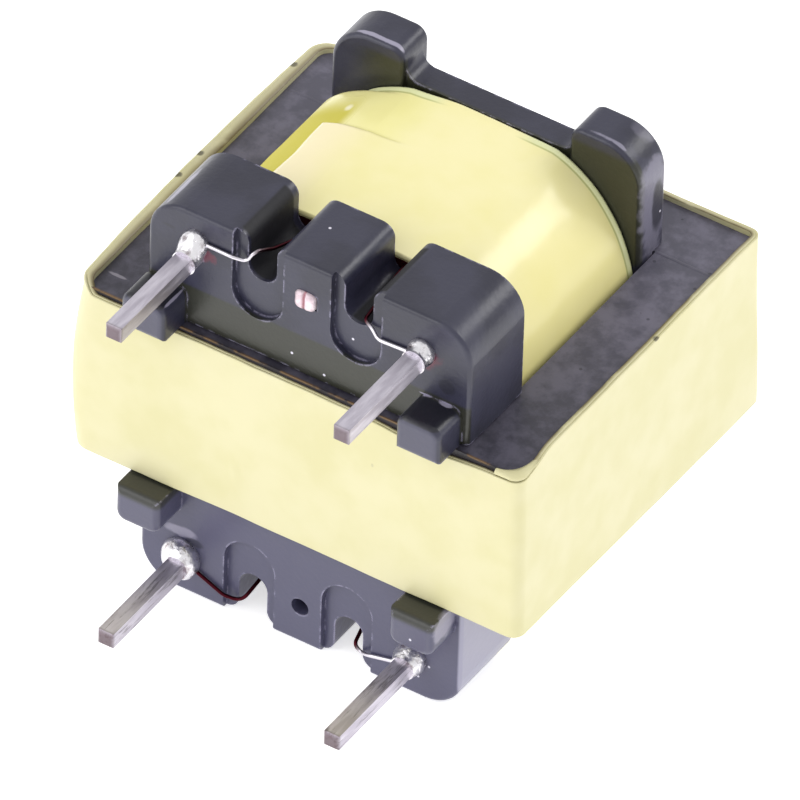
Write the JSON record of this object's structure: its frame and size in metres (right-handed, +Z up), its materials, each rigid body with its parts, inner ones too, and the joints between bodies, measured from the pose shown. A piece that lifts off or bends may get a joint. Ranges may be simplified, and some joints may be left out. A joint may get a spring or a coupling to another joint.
{
  "type": "pcb transformer",
  "caption": "Small laminated transformer with a taped coil on a dark bobbin, its square pins in two rows on one face; it lies on its side.",
  "frame": {"origin": "on the surface that the part lies on, under the middle of its outer box", "axes": "+Z up, +X along a row of pins, and the pins point along -Y"},
  "size_m": [0.0142, 0.016, 0.0138],
  "materials": {
    "bobbin_moulding": "satin dark moulding",
    "core_steel": "dull oxide-dark sheet steel",
    "core_tape": "pale yellow film tape",
    "coil_tape": "glossy pale yellow film tape",
    "enamelled_wire": "enamelled copper wire",
    "lead_wire": "enamelled copper, tinned at its end",
    "pin_metal": "tinned, slightly dull",
    "solder": "solder with some flux left on it"
  },
  "bodies": {
    "root": {"bobbin": "bobbin_moulding", "e_sheets_front": "core_steel", "i_sheets_rear": "core_steel", "e_sheets_rear": "core_steel", "i_sheets_front": "core_steel", "core_tape": "core_tape", "primary_winding": "enamelled_wire", "barrier_tape": "coil_tape", "secondary_winding": "enamelled_wire", "coil_tape": "coil_tape", "lead_upper_left": "lead_wire", "lead_upper_right": "lead_wire", "lead_lower_left": "lead_wire", "lead_lower_right": "lead_wire", "cut_pin_stub": "pin_metal", "pin_upper_left": "pin_metal", "pin_upper_right": "pin_metal", "pin_lower_left": "pin_metal", "pin_lower_right": "pin_metal", "solder_upper_left": "solder", "solder_upper_right": "solder", "solder_lower_left": "solder", "solder_lower_right": "solder"}
  },
  "joints": []
}
